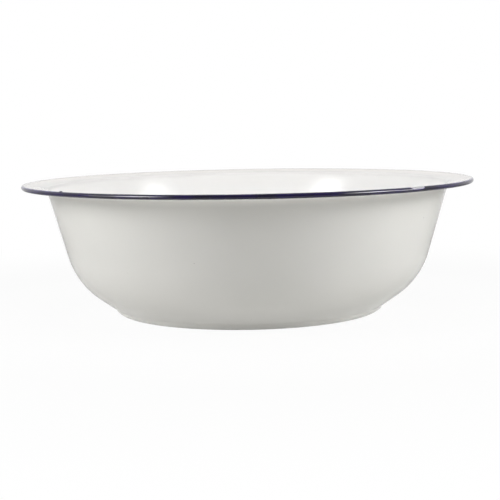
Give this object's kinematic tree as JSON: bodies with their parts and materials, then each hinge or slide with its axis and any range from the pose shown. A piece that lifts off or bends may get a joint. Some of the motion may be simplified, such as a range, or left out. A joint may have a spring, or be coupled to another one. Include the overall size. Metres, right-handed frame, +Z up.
{
  "type": "enamel basin bowl",
  "caption": "Round enamelled steel wash basin with a flared lip, a blue rolled rim and a flat foot ring; stands free and holds water.",
  "frame": {"origin": "on the floor plane under the middle of the basin", "axes": "+Z up through the middle of the bowl, which is round about it; X and Y lie in the floor plane and are alike"},
  "size_m": [0.3999, 0.4, 0.117],
  "materials": {
    "sheet_steel": "matte",
    "dark_enamel": "satin",
    "white_enamel_inside": "gloss",
    "white_enamel_outside": "gloss",
    "blue_enamel": "gloss"
  },
  "bodies": {
    "root": {"steel_pressing": "sheet_steel", "ground_coat": "dark_enamel", "white_coat_inside": "white_enamel_inside", "white_coat_outside": "white_enamel_outside", "blue_rim_band": "blue_enamel"}
  },
  "joints": []
}
